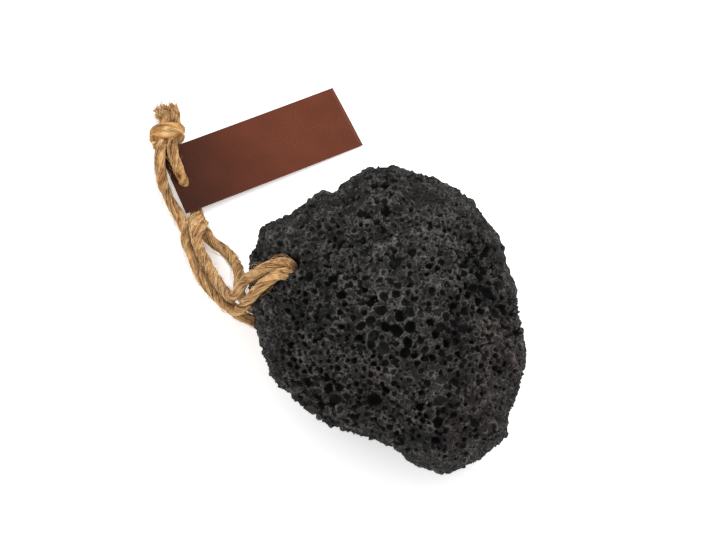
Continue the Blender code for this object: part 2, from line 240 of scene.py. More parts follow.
def smooth_path(route, step):
    """Centripetal Catmull-Rom through the points, then resampled at equal steps of length."""
    route = np.array(route) * MM
    route = np.vstack([2 * route[0] - route[1], route, 2 * route[-1] - route[-2]])
    a, b, c, d = route[:-3], route[1:-2], route[2:-1], route[3:]
    spans = [np.sqrt(np.linalg.norm(q - p, axis=1))[:, None, None] for p, q in ((a, b), (b, c), (c, d))]
    t1 = spans[0]
    t2 = t1 + spans[1]
    t3 = t2 + spans[2]
    t = t1 + (t2 - t1) * np.linspace(0, 1, 24, endpoint=False)[None, :, None]
    a, b, c, d = (p[:, None, :] for p in (a, b, c, d))
    ab = a + (b - a) * t / t1
    bc = b + (c - b) * (t - t1) / (t2 - t1)
    cd = c + (d - c) * (t - t2) / (t3 - t2)
    abc = ab + (bc - ab) * t / t2
    bcd = bc + (cd - bc) * (t - t1) / (t3 - t1)
    line = np.vstack([(abc + (bcd - abc) * (t - t1) / (t2 - t1)).reshape(-1, 3), route[-2:-1]])
    along = np.concatenate([[0], np.cumsum(np.linalg.norm(np.diff(line, axis=0), axis=1))])
    stops = np.linspace(0, along[-1], int(along[-1] / step) + 1)
    return np.column_stack([np.interp(stops, along, line[:, k]) for k in range(3)]), stops


def carried_frame(path):
    """Tangent, side and up at each point, where side is carried along the path without twisting."""
    tangent = np.gradient(path, axis=0)
    tangent /= np.linalg.norm(tangent, axis=1)[:, None]
    side = np.zeros_like(path)
    now = np.cross(tangent[0], (0.3, 0.1, 1.0))
    for i, way in enumerate(tangent):
        now = now - way * now.dot(way)
        now /= np.linalg.norm(now)
        side[i] = now
    return tangent, side, np.cross(tangent, side)


twine_path, twine_along = smooth_path(FIRST_STRAND + BIGHT + SECOND_STRAND, TWINE_STEP)
twine_frame = carried_frame(twine_path)
print("twine length, mm:", round(twine_along[-1] / MM, 1), "in", len(twine_path), "steps")


# %% [markdown]
# Three plies are laid together, so the cross-section is three overlapping circles that turn along
# the length. A real strand opens where it is bent and squeezed, so radius and lay wander a little.

# %% One laid strand
PLIES = 3
PLY_OFFSET = 0.28
PLY_RADIUS = 0.72
LAY_LENGTH = 19.0 * MM
LAY_WANDER = 1.5
STRAND_SIDES = 36


def lay_angle(along, seed):
    """Turn of the plies at a length: one turn a lay, with a slow wander on top."""
    flat = np.ravel(along)
    wander = value_noise(np.column_stack([flat, flat * 0, flat * 0]), 9 * MM, seed)
    return 2 * math.pi * along / LAY_LENGTH + LAY_WANDER * wander.reshape(np.shape(along))


def laid_radius(theta, along, seed):
    """Outer edge of three circles: offset*cos(a) + sqrt(radius^2 - (offset*sin(a))^2), a from the nearest ply."""
    turned = theta - lay_angle(along, seed)
    part = 2 * math.pi / PLIES
    a = np.mod(turned + part / 2, part) - part / 2
    edge = PLY_OFFSET * np.cos(a) + np.sqrt(PLY_RADIUS**2 - (PLY_OFFSET * np.sin(a)) ** 2)
    spots = np.column_stack([along.ravel(), np.cos(theta).ravel() * MM, np.sin(theta).ravel() * MM])
    swell = value_noise(spots, 4 * MM, seed + 1).reshape(theta.shape)
    grain = value_noise(np.column_stack([along.ravel() * 0.2, np.cos(turned).ravel() * 4 * MM,
                                         np.sin(turned).ravel() * 4 * MM]), 0.9 * MM, seed + 2)
    return edge * (1 + 0.10 * swell + 0.07 * grain.reshape(theta.shape)) * 1.08


def spread(offset, tangent, wide):
    """Widens an offset across the table and thins it upwards, by the factor wide."""
    across = np.cross(tangent, (0, 0, 1.0))
    across /= np.maximum(np.linalg.norm(across, axis=-1, keepdims=True), 1e-9)
    normal = np.cross(across, tangent)
    part_across = (offset * across).sum(-1, keepdims=True) * across
    part_normal = (offset * normal).sum(-1, keepdims=True) * normal
    return offset + (wide - 1) * part_across + (1 / wide**0.7 - 1) * part_normal


def strand(path, along, frame_of_path, radius, seed, wide=None):
    """A closed laid strand: middle + radius(length) * edge(angle, length) in the carried frame."""
    tangent, side, up = frame_of_path
    theta = np.linspace(0, 2 * math.pi, STRAND_SIDES, endpoint=False)[None, :] + along[:, None] * 0
    reach = laid_radius(theta, along[:, None] + theta * 0, seed) * np.broadcast_to(radius, len(path))[:, None]
    offset = reach[..., None] * (np.cos(theta)[..., None] * side[:, None] + np.sin(theta)[..., None] * up[:, None])
    if wide is not None:
        offset = spread(offset, tangent[:, None, :] + offset * 0, wide[:, None, None])
    points = (path[:, None] + offset).reshape(-1, 3)
    points[:, 2] = np.maximum(points[:, 2], 0.02 * MM)
    # Painted shade: the tone goes down in the grooves between the plies.
    painted_groove_shade = (0.95 - reach / reach.max()).clip(0, 1).ravel()
    tone = 0.48 + 0.4 * value_noise(points, 1.6 * MM, seed + 5) - 1.0 * painted_groove_shade
    return points, ring_faces(len(path), STRAND_SIDES), tone


# %% [markdown]
# A strand gets its look from its fibres: most lie along the plies, some stand off in arcs, and a
# few are loose ends. Each fibre is a thin three-sided tube on the strand's own surface.

# %% Fibres on a strand
FIBRE_POINTS = 10


def fibres(path, along, frame_of_path, radius, seed, count, length, lift, thick, wide=None, calm=None):
    """Fibres from random places, each following the plies; lift(t, random) * calm raises it off the strand."""
    rng = np.random.default_rng(seed)
    tangent, side, up = frame_of_path
    t = np.linspace(0, 1, FIBRE_POINTS)[None, :]
    size = rng.uniform(*length, count)[:, None]
    start = rng.uniform(0, along[-1], count)[:, None]
    s = np.clip(start + (t - 0.5) * size, 0, along[-1])
    theta = rng.uniform(0, 2 * math.pi, count)[:, None] + lay_angle(s, 7)
    theta = theta + rng.uniform(-0.5, 0.5, count)[:, None] * (t - 0.5)
    place = s / along[-1] * (len(path) - 1)
    low = np.clip(place.astype(int), 0, len(path) - 2)
    part = (place - low)[..., None]
    middle, way, across, above = (
        v[low] * (1 - part) + v[low + 1] * part for v in (path, tangent, side, up))
    raised = lift(t, rng.uniform(0, 1, (count, 1)))
    if calm is not None:
        raised = raised * np.interp(s, along, calm)
    out = laid_radius(theta, s, 7) * radius + raised
    direction = np.cos(theta)[..., None] * across + np.sin(theta)[..., None] * above
    offset = out[..., None] * direction
    if wide is not None:
        here = np.interp(s, along, wide)[..., None]
        offset = spread(offset, way, here)
    spine = middle + offset
    sides = 3
    turn = np.linspace(0, 2 * math.pi, sides, endpoint=False)
    body = thick * (0.35 + 0.65 * np.sin(math.pi * np.clip(t, 0.04, 0.96)) ** 0.4)
    body = body * rng.uniform(0.7, 1.3, (count, 1))
    binormal = np.cross(way, direction)
    ring = np.cos(turn)[None, None, :, None] * direction[:, :, None] + np.sin(turn)[None, None, :, None] * binormal[:, :, None]
    points = spine[:, :, None] + body[..., None, None] * ring
    points[..., 2] = np.maximum(points[..., 2], 0.05 * MM)
    one = ring_faces(FIBRE_POINTS, sides)
    base = np.arange(count)[:, None, None] * FIBRE_POINTS * sides
    faces = [(block[None] + base).reshape(-1, block.shape[1]) for block in one]
    tone = np.repeat(rng.uniform(0.05, 1.0, count), FIBRE_POINTS * sides)
    return points.reshape(-1, 3), faces, tone


def lying(t, r):
    return 0.03 * MM + 0.06 * MM * r + 0 * t


def arching(t, r):
    return 0.05 * MM + (0.3 + 0.9 * r) * MM * np.sin(math.pi * t)


def loose(t, r):
    return (0.4 + 1.9 * r**2) * MM * t**1.8


# %% The twine
flat_at = np.argmin(np.linalg.norm(twine_path - np.array((-49.5, 39.2, 4.8)) * MM, axis=1))
twine_wide = 1 + 1.05 * np.exp(-((twine_along - twine_along[flat_at]) / (4.2 * MM)) ** 2)
# Where the strand runs under the tag and through its hole, the card presses the fibres flat.
under_tag = np.argmin(np.linalg.norm(twine_path - np.array((-51.8, 50.6, 1.8)) * MM, axis=1))
twine_calm = 1 - 0.95 * np.exp(-((twine_along - twine_along[under_tag]) / (9 * MM)) ** 4)
parts = [strand(twine_path, twine_along, twine_frame, TWINE_DIAMETER / 2, 7, twine_wide)]
points, faces, tone = joined(parts)
jute_loop = new_piece("jute_loop", points, faces, jute, {"tone": tone})

recipe = dict(radius=TWINE_DIAMETER / 2, wide=twine_wide, calm=twine_calm)
parts = [
    fibres(twine_path, twine_along, twine_frame, seed=21, count=2400, length=(5 * MM, 15 * MM),
           lift=lying, thick=0.085 * MM, **recipe),
    fibres(twine_path, twine_along, twine_frame, seed=22, count=420, length=(3 * MM, 8 * MM),
           lift=arching, thick=0.04 * MM, **recipe),
    fibres(twine_path, twine_along, twine_frame, seed=23, count=520, length=(2 * MM, 6 * MM),
           lift=loose, thick=0.035 * MM, **recipe),
]
points, faces, tone = joined(parts)
jute_fibres = new_piece("jute_fibres", points, faces, jute, {"tone": tone})


# %% [markdown]
# The two ends are tied together in one overhand knot. From outside it is a fat double wrap round
# the two strands, which come out above it, cut off blunt and frayed.

# %% The knot and the cut ends
KNOT_MIDDLE = np.array((-57.5, 67.4, 3.0))
LEFT_CORE = [(-58.8, 63.3, 4.5), (-58.8, 64.6, 3.9), (-58.5, 66.5, 3.2), (-58.2, 69.0, 3.1),
             (-58.0, 71.0, 3.3), (-58.3, 72.7, 3.2), (-59.0, 74.2, 3.0)]
RIGHT_CORE = [(-56.2, 63.3, 4.8), (-56.2, 64.6, 4.0), (-56.2, 66.5, 3.2), (-55.7, 69.0, 3.1),
              (-55.3, 71.0, 3.4), (-55.5, 72.8, 3.5), (-56.3, 74.5, 3.3)]
TUFT_DISC = 1.3 * MM
TUFT_ROOTS = (0.2 * MM, 2.6 * MM)
TUFT_LENGTH = (1.0 * MM, 2.0 * MM)
TUFT_SPLAY = 0.28
TUFT_CURL = 0.24
TUFT_FIBRE = 0.10 * MM
TUFT_POINTS = 6
TAPER = 2.2 * MM


def wrap_route(phase, lower):
    """One and a half turns round the core: an ellipse across it that climbs as it goes."""
    turn = np.linspace(0, 3.1 * math.pi, 22)
    climb = lower + 2.5 * turn / (3.1 * math.pi)
    x = 3.2 * np.cos(turn + phase)
    z = 1.50 * np.sin(turn + phase)
    slant = 0.75 * np.cos(turn + phase)
    return np.column_stack([x, climb + slant, z]) + KNOT_MIDDLE


knot_parts = []
for seed, route, radius in ((31, LEFT_CORE, 1.2), (41, RIGHT_CORE, 1.2),
                            (51, wrap_route(3.5, -2.0), 1.45), (61, wrap_route(0.6, -1.0), 1.4)):
    path, along = smooth_path(route, 0.3 * MM)
    path[:, 2] = np.maximum(path[:, 2], 1.25 * MM)
    frame_here = carried_frame(path)
    thinned = radius * MM * np.clip((along[-1] - along) / TAPER, 0.35, 1)
    knot_parts.append(strand(path, along, frame_here, thinned, seed))
    knot_parts.append(fibres(path, along, frame_here, radius=radius * MM, seed=seed + 1, count=190,
                             length=(3 * MM, 8 * MM), lift=lying, thick=0.08 * MM))
    knot_parts.append(fibres(path, along, frame_here, radius=radius * MM, seed=seed + 2, count=45,
                             length=(2 * MM, 5 * MM), lift=loose, thick=0.035 * MM))


def frayed_end(tip, way, seed, count):
    """Fibres out of a cut end: a staggered root + length * (way * t + splay * t + curl * t^2), all at random."""
    rng = np.random.default_rng(seed)
    angle = rng.uniform(0, 2 * math.pi, count)
    out = np.sqrt(rng.uniform(0, 1, count))
    way = np.array(way) / np.linalg.norm(way)
    across = np.cross(way, (0, 0, 1.0))
    above = np.cross(across, way)
    disc = np.cos(angle)[:, None] * across + np.sin(angle)[:, None] * above
    t = np.linspace(0, 1, TUFT_POINTS)[None, :, None]
    size = rng.uniform(*TUFT_LENGTH, count)[:, None, None]
    back = rng.uniform(*TUFT_ROOTS, count)[:, None]
    root = np.array(tip) * MM - way * back + disc * (out * TUFT_DISC)[:, None]
    splay = disc * (out * TUFT_SPLAY)[:, None] + rng.normal(0, 0.12, (count, 3))
    curl = rng.normal(0, TUFT_CURL, (count, 3))
    spine = root[:, None] + size * (way * t + splay[:, None] * t + curl[:, None] * t**2)
    turn = np.linspace(0, 2 * math.pi, 3, endpoint=False)
    ring = np.cos(turn)[:, None] * across + np.sin(turn)[:, None] * above
    points = spine[:, :, None] + TUFT_FIBRE * ring[None, None]
    points[..., 2] = np.maximum(points[..., 2], 0.05 * MM)
    each = TUFT_POINTS * 3
    base = np.arange(count)[:, None, None] * each
    faces = [(block[None] + base).reshape(-1, block.shape[1]) for block in ring_faces(TUFT_POINTS, 3)]
    return points.reshape(-1, 3), faces, np.repeat(0.25 + 0.7 * rng.uniform(0, 1, count) ** 1.2, each)


knot_parts.append(frayed_end(LEFT_CORE[-1], (-0.35, 1, 0.05), 71, 620))
knot_parts.append(frayed_end(RIGHT_CORE[-1], (-0.30, 1, 0.08), 72, 620))
points, faces, tone = joined(knot_parts)
jute_knot = new_piece("jute_knot", points, faces, jute, {"tone": tone})


# %% [markdown]
# The tag is printed card, half a millimetre thick, brown all over with a satin press varnish. It is
# one closed surface: rings run from the punched hole out to the edge, round it and back below.

# %% Printed card
def make_card():
    material, tree, shader = new_finish("printed_card", 0.6)
    where = add_node(tree, "ShaderNodeUVMap", uv_map="UVMap").outputs["UV"]
    # Painted shade: the brown goes darker towards the hole end; paper fibres show as a 0.3 mm mottle.
    split = add_node(tree, "ShaderNodeSeparateXYZ", {"Vector": where})
    cloud = add_node(tree, "ShaderNodeTexNoise", {"Vector": where, "Scale": 90.0, "Detail": 3.0}).outputs["Fac"]
    grain = add_node(tree, "ShaderNodeTexNoise", {"Vector": where, "Scale": 3300.0, "Detail": 2.0}).outputs["Fac"]
    along = add_node(tree, "ShaderNodeMapRange", {"Value": split.outputs["X"], "From Min": 0.0, "From Max": 0.03, "To Max": 0.7})
    mixed = add_node(tree, "ShaderNodeMath", {0: cloud, 1: 0.45, 2: along.outputs[0]}, operation="MULTIPLY_ADD")
    mottle = add_node(tree, "ShaderNodeMapRange", {
        "Value": grain, "From Min": 0.3, "From Max": 0.7, "To Min": -0.22, "To Max": 0.12})
    mixed = add_node(tree, "ShaderNodeMath", {0: mixed.outputs[0], 1: mottle.outputs[0]}, operation="ADD")
    ink_and_painted_shade = add_node(tree, "ShaderNodeValToRGB", {"Fac": mixed.outputs[0]}, stops=[
        (0.1, "#30150b"), (0.5, "#4c2415"), (0.85, "#5f2f1d"), (1.0, "#6a3623")])
    edge = add_node(tree, "ShaderNodeAttribute", attribute_name="edge").outputs["Fac"]
    worn = add_node(tree, "ShaderNodeMath", {0: edge, 1: grain}, operation="MULTIPLY")
    mix = add_node(tree, "ShaderNodeMix", {0: worn.outputs[0], 6: ink_and_painted_shade.outputs["Color"], 7: linear("#7d4f3c")},
                   data_type="RGBA")
    bump = add_node(tree, "ShaderNodeBump", {"Height": grain, "Strength": 0.3, "Distance": 0.00005})
    tree.links.new(mix.outputs[2], shader.inputs["Base Color"])
    tree.links.new(bump.outputs["Normal"], shader.inputs["Normal"])
    shader.inputs["Specular IOR Level"].default_value = 0.12
    return material


# %% The tag
TAG_OUTLINE = np.array([(0, 0), (51.6, 0), (52.1, 19.15), (1.8, 20.0)]) * MM
TAG_CORNER = np.array((-52.4, 42.9, 3.75)) * MM
TAG_HEADING, TAG_SLOPE = math.radians(26.1), math.radians(3.8)
TAG_HOLE, TAG_HOLE_RADIUS = np.array((3.65, 8.9)) * MM, 1.4 * MM
TAG_HALF = 0.25 * MM
TAG_AROUND, TAG_ROWS = 288, 44


def make_tag():
    """Rings from the hole (s = 0) to the outline (s = 1), above and below; height bends by a shallow curve."""
    closed = np.vstack([TAG_OUTLINE, TAG_OUTLINE[:1]])
    lengths = np.concatenate([[0], np.cumsum(np.linalg.norm(np.diff(closed, axis=0), axis=1))])
    stops = np.linspace(0, lengths[-1], TAG_AROUND, endpoint=False)
    stops[[np.argmin(abs(stops - corner)) for corner in lengths[:-1]]] = lengths[:-1]
    outer = np.column_stack([np.interp(stops, lengths, closed[:, k]) for k in (0, 1)])
    way = outer - TAG_HOLE
    inner = TAG_HOLE + way / np.linalg.norm(way, axis=1)[:, None] * TAG_HOLE_RADIUS
    s = np.linspace(0, 1, TAG_ROWS)[:, None, None]
    flat = inner[None] + (outer - inner)[None] * s
    round_off = np.zeros((TAG_ROWS, 1))
    round_off[[0, -1]] = 0.12 * MM
    x, y = flat[..., 0], flat[..., 1]
    bend = 0.25 * MM * ((x - 14 * MM) / (38 * MM)).clip(0) ** 2 + 0.18 * MM * np.cos((y / (19 * MM) - 0.5) * 3) * (x / (50 * MM))
    top = np.dstack([x, y, bend + TAG_HALF - round_off])
    low = np.dstack([x, y, bend - TAG_HALF + round_off])[::-1]
    loops = np.vstack([top, low])
    local = loops.reshape(-1, 3)
    cz, sz, cy, sy = math.cos(TAG_HEADING), math.sin(TAG_HEADING), math.cos(TAG_SLOPE), math.sin(TAG_SLOPE)
    turned = np.array([[cz * cy, -sz, cz * sy], [sz * cy, cz, sz * sy], [-sy, 0, cy]])
    points = local @ turned.T + TAG_CORNER
    rings = 2 * TAG_ROWS
    a = np.arange(rings)[:, None] * TAG_AROUND
    i = np.arange(TAG_AROUND)[None]
    j = (i + 1) % TAG_AROUND
    b = (np.arange(rings)[:, None] + 1) % rings * TAG_AROUND
    faces = np.stack([a + i, b + i, b + j, a + j], axis=-1).reshape(-1, 4)
    edge = np.zeros(rings)
    edge[[0, TAG_ROWS - 1, TAG_ROWS, rings - 1]] = 1.0
    return points, [faces], np.repeat(edge, TAG_AROUND), local[:, :2]


points, faces, edge, uv = make_tag()
card_tag = new_piece("printed_tag", points, faces, make_card(), {"edge": edge}, uv)


# %% [markdown]
# The stone is a lump of vesicular lava: gas bubbles froze in it and were cut open when it was
# shaped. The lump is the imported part's own formula on a fine grid; each bubble is then sunk into it,
# and the thin walls left between bubbles catch the light.

# %% The lump
OUTLINE = [
    (34.0, 0.0), (32.5, 8.0), (30.5, 15.0), (27.5, 23.0), (21.5, 30.5), (15.0, 35.5), (8.5, 38.0),
    (0.0, 40.0), (-8.0, 38.5), (-11.5, 35.0), (-14.5, 33.0), (-17.5, 33.5), (-21.0, 31.0),
    (-25.5, 27.5), (-33.0, 24.0), (-34.0, 20.5), (-36.0, 16.0), (-36.0, 10.0), (-34.5, 0.0),
    (-32.5, -8.0), (-30.0, -14.0), (-25.5, -18.5), (-18.0, -25.0), (-12.0, -28.0), (-5.0, -29.5),
    (2.0, -33.0), (8.0, -37.0), (14.0, -38.5), (21.0, -36.5), (29.5, -30.5), (31.0, -24.5),
    (34.0, -16.0), (35.0, -8.0),
]
RING_CENTRE = np.array((0.62, -0.76, 23.0)) * MM
OUTLINE_STEP = 0.2 * MM
RING_STRETCH, RING_RISE = 1.031, 0.214
TOP_DEPTH, UNDER_DEPTH, FULLNESS = 25.0 * MM, 26.6 * MM, 2.2
TOP_RELIEF = [
    (14.0, 18.0, 12.0, 2.4), (-1.0, 12.0, 8.0, 1.6), (-5.0, -6.0, 8.0, 1.8), (-4.0, -19.0, 8.0, 2.0),
    (-13.0, 15.5, 5.5, -3.0), (-22.0, -4.0, 12.0, -2.2), (-17.0, 33.0, 6.0, 1.4), (14.0, -33.0, 9.0, 1.8),
    (11.5, -23.0, 4.0, -1.5), (20.0, 2.0, 5.0, -1.4), (-30.5, 11.0, 4.5, -2.2)]
UNDER_RELIEF = [(18.0, 14.0, 11.0, -2.2), (-14.0, 22.0, 10.0, 2.0), (16.0, -26.0, 9.0, -2.4), (-20.0, -16.0, 9.0, 1.8)]
SWELL = 0.4 * MM


def box_sphere(nu, nv, nw):
    """Unit directions on a box's grid, each edge at equal angles, with quads that share their seams."""
    counts = (nu, nv, nw)
    places, quads, start = [], [], 0
    for fixed in range(3):
        p, q = [k for k in range(3) if k != fixed]
        i, j = np.meshgrid(np.arange(counts[p] + 1), np.arange(counts[q] + 1), indexing="ij")
        for end in (0, counts[fixed]):
            spot = np.zeros((i.size, 3), dtype=np.int64)
            spot[:, p], spot[:, q], spot[:, fixed] = i.ravel(), j.ravel(), end
            places.append(spot)
            index = np.arange(i.size).reshape(i.shape) + start
            quads.append(np.stack([index[:-1, :-1], index[1:, :-1], index[1:, 1:], index[:-1, 1:]], -1).reshape(-1, 4))
            start += i.size
    unique, back = np.unique(np.vstack(places), axis=0, return_inverse=True)
    faces = back.ravel()[np.vstack(quads)]
    directions = np.tan((2 * unique / np.array(counts) - 1) * math.pi / 4)
    directions /= np.linalg.norm(directions, axis=1)[:, None]
    middle = directions[faces].mean(axis=1)
    normal = np.cross(directions[faces[:, 1]] - directions[faces[:, 0]], directions[faces[:, 3]] - directions[faces[:, 0]])
    inside_out = (normal * middle).sum(axis=1) < 0
    faces[inside_out] = faces[inside_out][:, ::-1]
    return directions, faces


def ring_radius(angle):
    """Distance from the middle to a smooth closed line through the outline, at an angle."""
    wrapped = [(u, v, 0.0) for u, v in OUTLINE[-2:] + OUTLINE + OUTLINE[:2]]
    line, _ = smooth_path(wrapped, OUTLINE_STEP)
    turn = np.unwrap(np.arctan2(line[:, 1], line[:, 0]))
    return np.interp(np.mod(angle, 2 * math.pi), turn, np.hypot(line[:, 0], line[:, 1]))


def relief(u, v, lumps):
    """Sum of height * exp(-(distance / radius)^2) over the lumps."""
    return sum(h * MM * np.exp(-((u - x * MM) ** 2 + (v - y * MM) ** 2) / (r * MM) ** 2) for x, y, r, h in lumps)


def stone_point(direction):
    """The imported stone's formula: ring radius times a rounded height, laid off along the leaning line."""
    dx, dy, dz = direction.T
    out = np.hypot(dx, dy)
    full = (out**FULLNESS + np.abs(dz) ** FULLNESS) ** (-1.0 / FULLNESS)
    angle = np.arctan2(dy, dx)
    reach = ring_radius(angle) * out * full
    u, v, height = reach * np.cos(angle), reach * np.sin(angle), dz * full
    w = height * np.where(height > 0, TOP_DEPTH, UNDER_DEPTH)
    waves = np.sin(330 * u + 1.3) * np.sin(290 * v + 0.4) + np.sin(310 * w + 270 * u - 0.9) + np.sin(380 * v - 300 * w + 2.1)
    bumps = np.where(height > 0, relief(u, v, TOP_RELIEF), -relief(u, v, UNDER_RELIEF))
    w = w + np.clip(np.abs(height) / 0.4, 0, 1) * (bumps + np.sign(height) * SWELL * waves)
    z = RING_CENTRE[2] + RING_RISE * v + 0.866 * w
    spot = np.column_stack([RING_CENTRE[0] + u, RING_CENTRE[1] + RING_STRETCH * v - 0.5 * w, z])
    return spot, u, v, height


def point_normals(points, faces):
    """Normals at the points, from the crossed diagonals of their quads."""
    cross = np.cross(points[faces[:, 2]] - points[faces[:, 0]], points[faces[:, 3]] - points[faces[:, 1]])
    normals = np.zeros_like(points)
    for k in range(4):
        np.add.at(normals, faces[:, k], cross)
    return normals / np.linalg.norm(normals, axis=1)[:, None]


directions, stone_faces = box_sphere(142, 158, 86)
base, ring_u, ring_v, ring_height = stone_point(directions)
base_normal = point_normals(base, stone_faces)
print("stone grid:", len(base), "points", 2 * len(stone_faces), "triangles")


# %% [markdown]
# The bubbles that give this stone its face are listed by place on the ring's plane, radius and
# depth. The rest are scattered, largest first, so that each fits beside those already there.

# %% The bubbles
DEEP, MIDDLING, SHALLOW = 2.2, 1.2, 0.6
NAMED_BUBBLES = [
    (-0.5, 28.5, 1.6, DEEP), (-7.5, 28.0, 1.4, MIDDLING), (1.5, 15.5, 1.8, MIDDLING), (6.0, 18.5, 1.4, MIDDLING),
    (-6.5, 18.0, 1.6, SHALLOW), (5.5, 13.0, 1.0, MIDDLING), (-8.0, 13.0, 1.0, MIDDLING),
    (-7.5, 10.0, 1.2, MIDDLING), (-13.0, 12.5, 1.0, MIDDLING), (-12.5, 7.0, 1.4, DEEP),
    (-21.0, 11.5, 1.4, MIDDLING), (-4.5, 5.5, 1.6, DEEP), (4.5, 5.0, 1.4, MIDDLING), (11.0, 8.0, 1.2, MIDDLING),
    (14.0, 8.0, 1.0, MIDDLING), (12.5, 2.5, 1.4, SHALLOW), (8.0, 2.0, 1.2, SHALLOW), (19.5, 3.0, 1.2, MIDDLING),
    (19.0, -1.5, 1.4, MIDDLING), (2.0, -2.0, 1.8, DEEP), (12.0, -3.0, 1.4, DEEP), (8.0, -4.5, 1.2, MIDDLING),
    (4.0, -7.5, 1.4, DEEP), (-1.5, -6.5, 1.8, SHALLOW), (1.5, -10.0, 1.2, MIDDLING), (-1.0, -10.5, 1.2, MIDDLING),
    (13.5, -15.0, 1.6, SHALLOW), (17.0, -15.5, 1.4, MIDDLING), (10.0, -16.0, 1.0, MIDDLING),
    (23.5, -15.5, 1.2, MIDDLING), (20.0, -18.0, 1.2, MIDDLING), (24.5, -18.5, 1.0, DEEP),
    (-1.0, -17.5, 1.2, DEEP), (-16.0, -17.5, 1.6, DEEP), (-4.0, -20.5, 2.0, DEEP), (13.0, -20.5, 1.6, SHALLOW),
    (8.5, -22.0, 1.2, DEEP), (-9.0, -22.5, 1.0, MIDDLING), (12.5, -25.5, 1.6, DEEP),
    (22.0, -26.0, 1.4, MIDDLING), (-2.0, -27.5, 1.4, MIDDLING), (12.0, -31.0, 1.4, DEEP),
    (14.5, -30.5, 0.8, MIDDLING), (19.5, -32.0, 1.2, MIDDLING), (30.0, -11.0, 1.0, DEEP),
    (32.0, -10.5, 0.8, MIDDLING), (-28.0, -13.5, 1.0, MIDDLING), (-27.5, -7.5, 1.0, MIDDLING)]
BUBBLE_TRIES = 26000
BUBBLE_RADIUS = (0.45 * MM, 1.8 * MM)
BUBBLE_FALL = 3.0
BUBBLE_DEPTHS = (0.6, 2.0)
BUBBLE_GAP = 0.84
BUBBLE_SEED = 5
ZONE_SIZE = 14 * MM
ZONE_EDGES = (0.25, 0.75)
ZONE_LEAST = 0.38
HOLE_TOP = np.array((-25.1, 5.9, 40.0)) * MM
HOLE_FOOT = np.array((-25.6, 7.2, 10.0)) * MM
HOLE_RADIUS = 2.6 * MM


def from_hole(points):
    """Distance out from the drilled hole's axis, place along it, and the way out."""
    axis = (HOLE_TOP - HOLE_FOOT) / np.linalg.norm(HOLE_TOP - HOLE_FOOT)
    offset = points - HOLE_FOOT
    along = offset @ axis
    out = offset - along[:, None] * axis
    distance = np.linalg.norm(out, axis=1)
    return distance, along, out / np.maximum(distance, 1e-9)[:, None], axis


def scatter_bubbles():
    """Named bubbles, then random ones by falling size, kept where they overlap by less than a sixth.

    The rock froze unevenly, so the largest radius allowed rises from fine zones to coarse ones.
    """
    centres, radii, depths = [], [], []
    top = np.flatnonzero(ring_height > 0)
    for u, v, radius, depth in NAMED_BUBBLES:
        nearest = top[np.argmin((ring_u[top] - u * MM) ** 2 + (ring_v[top] - v * MM) ** 2)]
        centres.append(base[nearest])
        radii.append(radius * MM)
        depths.append(depth * MM)
    rng = np.random.default_rng(BUBBLE_SEED)
    size = np.sort(BUBBLE_RADIUS[0] + (BUBBLE_RADIUS[1] - BUBBLE_RADIUS[0]) * rng.uniform(0, 1, BUBBLE_TRIES) ** BUBBLE_FALL)[::-1]
    pick = rng.integers(0, len(base), BUBBLE_TRIES)
    deep = rng.uniform(*BUBBLE_DEPTHS, BUBBLE_TRIES)
    zone = 0.5 + 0.5 * value_noise(base, ZONE_SIZE, BUBBLE_SEED + 1)
    coarse = np.clip((zone - ZONE_EDGES[0]) / (ZONE_EDGES[1] - ZONE_EDGES[0]), ZONE_LEAST, 1)
    allowed = BUBBLE_RADIUS[0] + (BUBBLE_RADIUS[1] - BUBBLE_RADIUS[0]) * coarse
    held = np.zeros((len(centres) + BUBBLE_TRIES, 3))
    held_radius = np.zeros(len(held))
    held[:len(centres)], held_radius[:len(centres)] = centres, radii
    count = len(centres)
    fits = size <= allowed[pick]
    for radius, index, share in zip(size[fits], pick[fits], deep[fits]):
        spot = base[index]
        gap = np.linalg.norm(held[:count] - spot, axis=1)
        if (gap > BUBBLE_GAP * (held_radius[:count] + radius)).all():
            held[count], held_radius[count] = spot, radius
            depths.append(min(radius * share, 2.4 * MM))
            count += 1
    clear = from_hole(held[:count])[0] > HOLE_RADIUS + 0.5 * held_radius[:count]
    return held[:count][clear], held_radius[:count][clear], np.array(depths)[clear]


bubble_centre, bubble_radius, bubble_depth = scatter_bubbles()
print("bubbles:", len(bubble_radius), "mean radius, mm:", round(bubble_radius.mean() / MM, 2))


# %% Sinking the bubbles
BRIM_REACH = 0.8 * MM
FULL_SHADE_DEPTH = 2.1 * MM
LIP_WIDTH, LIP_HEIGHT = 0.22 * MM, 0.14 * MM
BEND_SIZE, BEND = 1.5 * MM, 0.42 * MM
CUP_POWER = 3.0


def sink_bubbles():
    """Depth * sqrt(1 - (distance / radius)^power) in each bubble, its brim (radius - distance) and its painted shade,
    darker the deeper the bubble.

    The brim is kept as a distance because it stays straight between the grid's points, so that the
    material can cut it off sharply where the grid itself is too coarse to show a crisp edge.
    """
    bent = base + BEND * np.column_stack([value_noise(base, BEND_SIZE, seed) for seed in (81, 82, 83)])
    sunk, brim, painted_pit_shade = np.zeros(len(base)), np.full(len(base), -BRIM_REACH), np.zeros(len(base))
    order = np.argsort(bent[:, 0])
    across = bent[order, 0]
    for centre, radius, depth in zip(bubble_centre, bubble_radius, bubble_depth):
        reach = radius + BRIM_REACH
        low, high = np.searchsorted(across, (centre[0] - reach, centre[0] + reach))
        near = order[low:high]
        inward = radius - np.linalg.norm(bent[near] - centre, axis=1)
        sunk[near] = np.maximum(sunk[near], depth * np.sqrt(np.clip(1 - (1 - inward / radius) ** CUP_POWER, 0, 1)))
        closer = inward > brim[near]
        brim[near[closer]] = inward[closer]
        painted_pit_shade[near[closer]] = min(depth / FULL_SHADE_DEPTH, 1.0) ** 1.3
    return sunk, brim, painted_pit_shade


